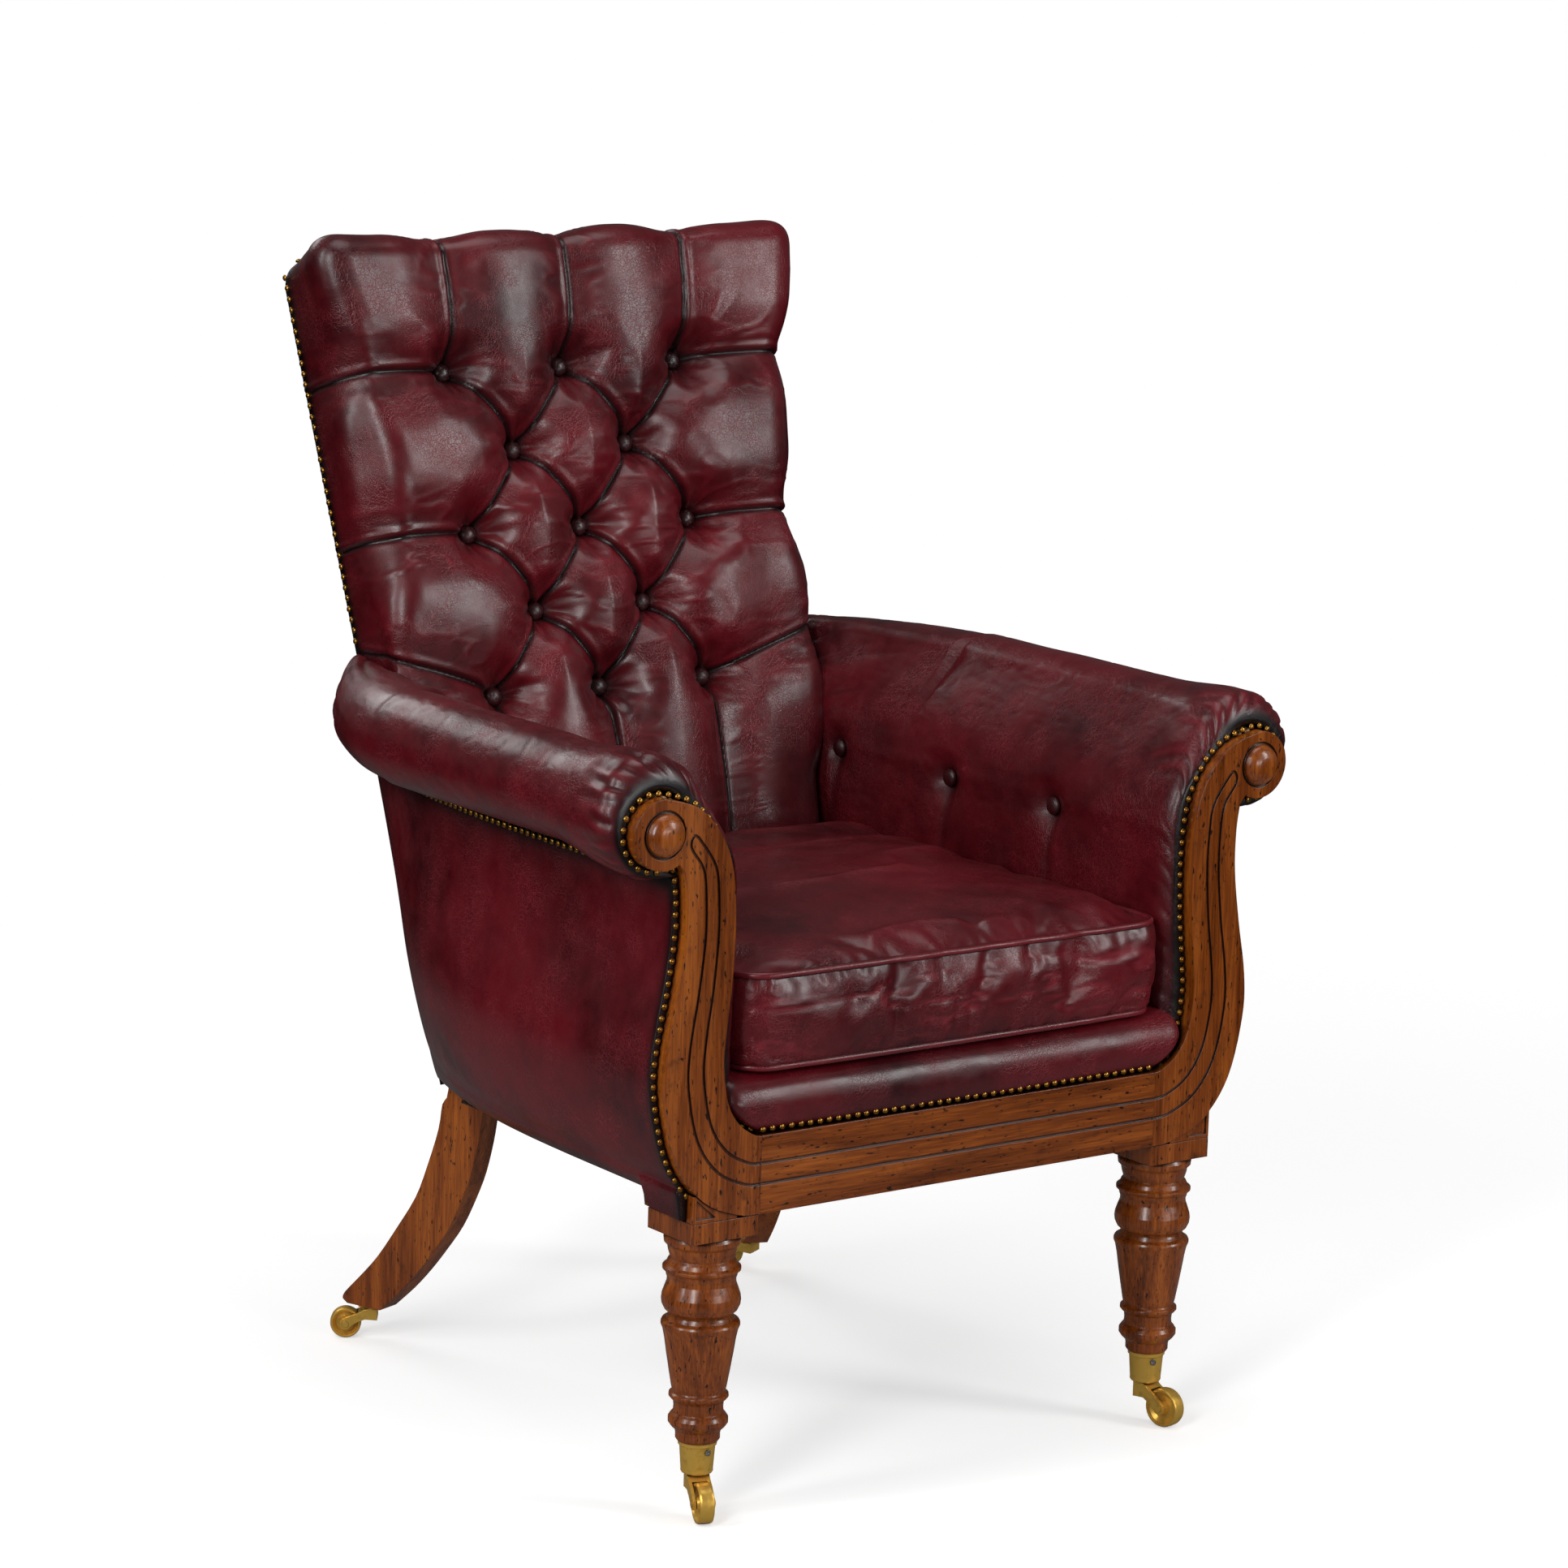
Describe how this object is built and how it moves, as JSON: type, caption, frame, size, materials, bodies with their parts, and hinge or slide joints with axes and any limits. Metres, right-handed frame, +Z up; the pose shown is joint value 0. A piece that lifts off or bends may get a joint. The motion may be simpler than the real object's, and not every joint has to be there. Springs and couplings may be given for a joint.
{
  "type": "buttoned library armchair",
  "caption": "Leather library armchair with a raked buttoned back, scroll arms on lyre-shaped mahogany facings, turned front legs, swept rear legs and brass castors.",
  "frame": {"origin": "on the floor, under the middle of the chair's bounding box", "axes": "+Z up, +Y towards the back, +X to the right as seen from the front"},
  "size_m": [0.7134, 0.703, 0.9871],
  "materials": {
    "mahogany": "polished, worn at the arrises, dark in the hollows",
    "beech": "raw, sawn, hidden frame",
    "leather": "antiqued burgundy hide, glossy, fine crackle, rubbed darker at seams",
    "brass": "aged cast brass, dull in the hollows",
    "steel": "dull riveted and slotted steel",
    "jute": "woven upholstery webbing",
    "black_cloth": "black dust cover under the seat"
  },
  "bodies": {
    "frame": {"front_rail": "mahogany", "facing_left": "mahogany", "facing_right": "mahogany", "scroll_boss_left": "mahogany", "scroll_boss_right": "mahogany", "spandrel_left": "mahogany", "spandrel_right": "mahogany", "front_leg_left": "mahogany", "front_leg_right": "mahogany", "rear_leg_left": "mahogany", "rear_leg_right": "mahogany", "side_rail_left": "beech", "side_rail_right": "beech", "back_rail": "beech", "front_corner_blocks": "beech", "rear_corner_block_left": "beech", "rear_corner_block_right": "beech", "back_upright_left": "beech", "back_upright_right": "beech", "back_top_rail": "beech", "back_lower_rail": "beech", "arm_stump_left": "beech", "arm_stump_right": "beech", "arm_rail_left": "beech", "arm_rail_right": "beech", "arm_rear_post_left": "beech", "arm_rear_post_right": "beech", "seat_webbing": "jute", "back_webbing": "jute", "dust_cover": "black_cloth", "seat_deck": "leather", "back_pad": "leather", "back_buttons": "leather", "outer_back_panel": "leather", "arm_pad_left": "leather", "arm_pad_right": "leather", "arm_buttons": "leather", "outer_side_panel_left": "leather", "outer_side_panel_right": "leather", "castor_cup_left": "brass", "castor_cup_right": "brass", "castor_plate_left": "brass", "castor_plate_right": "brass", "castor_cup_screws": "steel", "castor_plate_screws": "steel"},
    "castor_front_left": {"castor_horn_front_left": "brass", "castor_axle_front_left": "steel"},
    "wheel_front_left": {"castor_wheel_front_left": "brass"},
    "castor_front_right": {"castor_horn_front_right": "brass", "castor_axle_front_right": "steel"},
    "wheel_front_right": {"castor_wheel_front_right": "brass"},
    "castor_rear_left": {"castor_horn_rear_left": "brass", "castor_axle_rear_left": "steel"},
    "wheel_rear_left": {"castor_wheel_rear_left": "brass"},
    "castor_rear_right": {"castor_horn_rear_right": "brass", "castor_axle_rear_right": "steel"},
    "wheel_rear_right": {"castor_wheel_rear_right": "brass"},
    "seat_cushion": {"seat_cushion": "leather"}
  },
  "joints": [
    {"name": "swivel_front_left", "type": "hinge", "parent": "frame", "child": "castor_front_left", "pos_m": [-0.238, -0.30752, 0.034], "axis": [0, 0, 1], "continuous": true},
    {"name": "spin_front_left", "type": "hinge", "parent": "castor_front_left", "child": "wheel_front_left", "pos_m": [-0.24624, -0.32899, 0.017], "axis": [-0.9336, 0.3584, 0], "continuous": true},
    {"name": "swivel_front_right", "type": "hinge", "parent": "frame", "child": "castor_front_right", "pos_m": [0.238, -0.30752, 0.034], "axis": [0, 0, 1], "continuous": true},
    {"name": "spin_front_right", "type": "hinge", "parent": "castor_front_right", "child": "wheel_front_right", "pos_m": [0.24258, -0.33006, 0.017], "axis": [-0.9799, -0.1994, 0], "continuous": true},
    {"name": "swivel_rear_left", "type": "hinge", "parent": "frame", "child": "castor_rear_left", "pos_m": [-0.21, 0.24248, 0.028], "axis": [0, 0, 1], "continuous": true},
    {"name": "spin_rear_left", "type": "hinge", "parent": "castor_rear_left", "child": "wheel_rear_left", "pos_m": [-0.22884, 0.25567, 0.014], "axis": [0.5736, 0.8192, 0], "continuous": true},
    {"name": "swivel_rear_right", "type": "hinge", "parent": "frame", "child": "castor_rear_right", "pos_m": [0.21, 0.24248, 0.028], "axis": [0, 0, 1], "continuous": true},
    {"name": "spin_rear_right", "type": "hinge", "parent": "castor_rear_right", "child": "wheel_rear_right", "pos_m": [0.19956, 0.26297, 0.014], "axis": [0.891, 0.454, 0], "continuous": true},
    {"name": "cushion_lift", "type": "slide", "parent": "frame", "child": "seat_cushion", "axis": [0, 0, 1], "range_m": [0, 0.3]}
  ]
}
